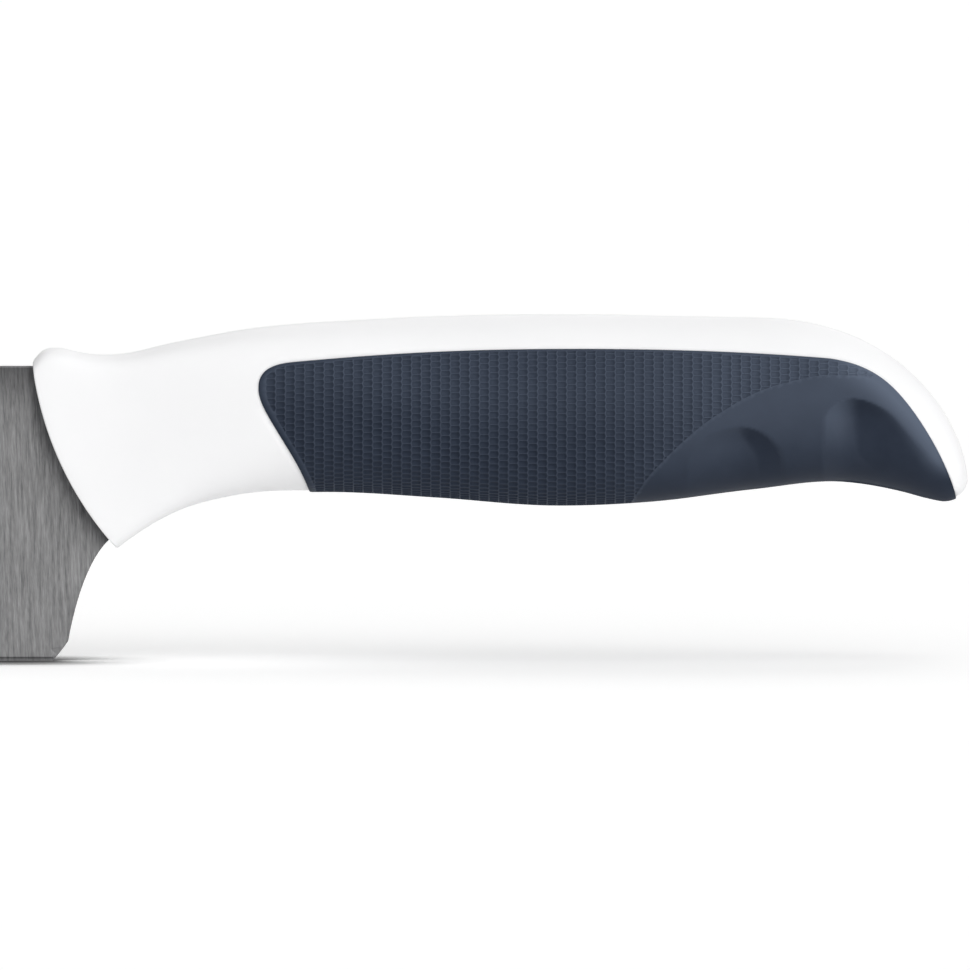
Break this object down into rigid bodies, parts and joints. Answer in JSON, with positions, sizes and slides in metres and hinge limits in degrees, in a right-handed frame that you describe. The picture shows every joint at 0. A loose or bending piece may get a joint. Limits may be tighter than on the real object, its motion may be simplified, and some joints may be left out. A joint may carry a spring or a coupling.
{
  "type": "carving knife",
  "caption": "Kitchen carving knife: flat-ground steel blade with hidden tang, hard white moulded handle and a dark soft grip with finger scoops.",
  "frame": {"origin": "under the middle of the knife's length, on the cutting edge's level", "axes": "+X from tip to butt along the length, +Y across the thickness, +Z from cutting edge to spine"},
  "size_m": [0.335, 0.0228, 0.0484],
  "materials": {
    "blade_steel": "upright grind lines, satin",
    "white_plastic": "smooth satin moulding",
    "grip_rubber": "soft-touch, honeycomb texture with a smooth finger zone"
  },
  "bodies": {
    "root": {"blade": "blade_steel", "handle_body": "white_plastic", "soft_grip": "grip_rubber"}
  },
  "joints": []
}
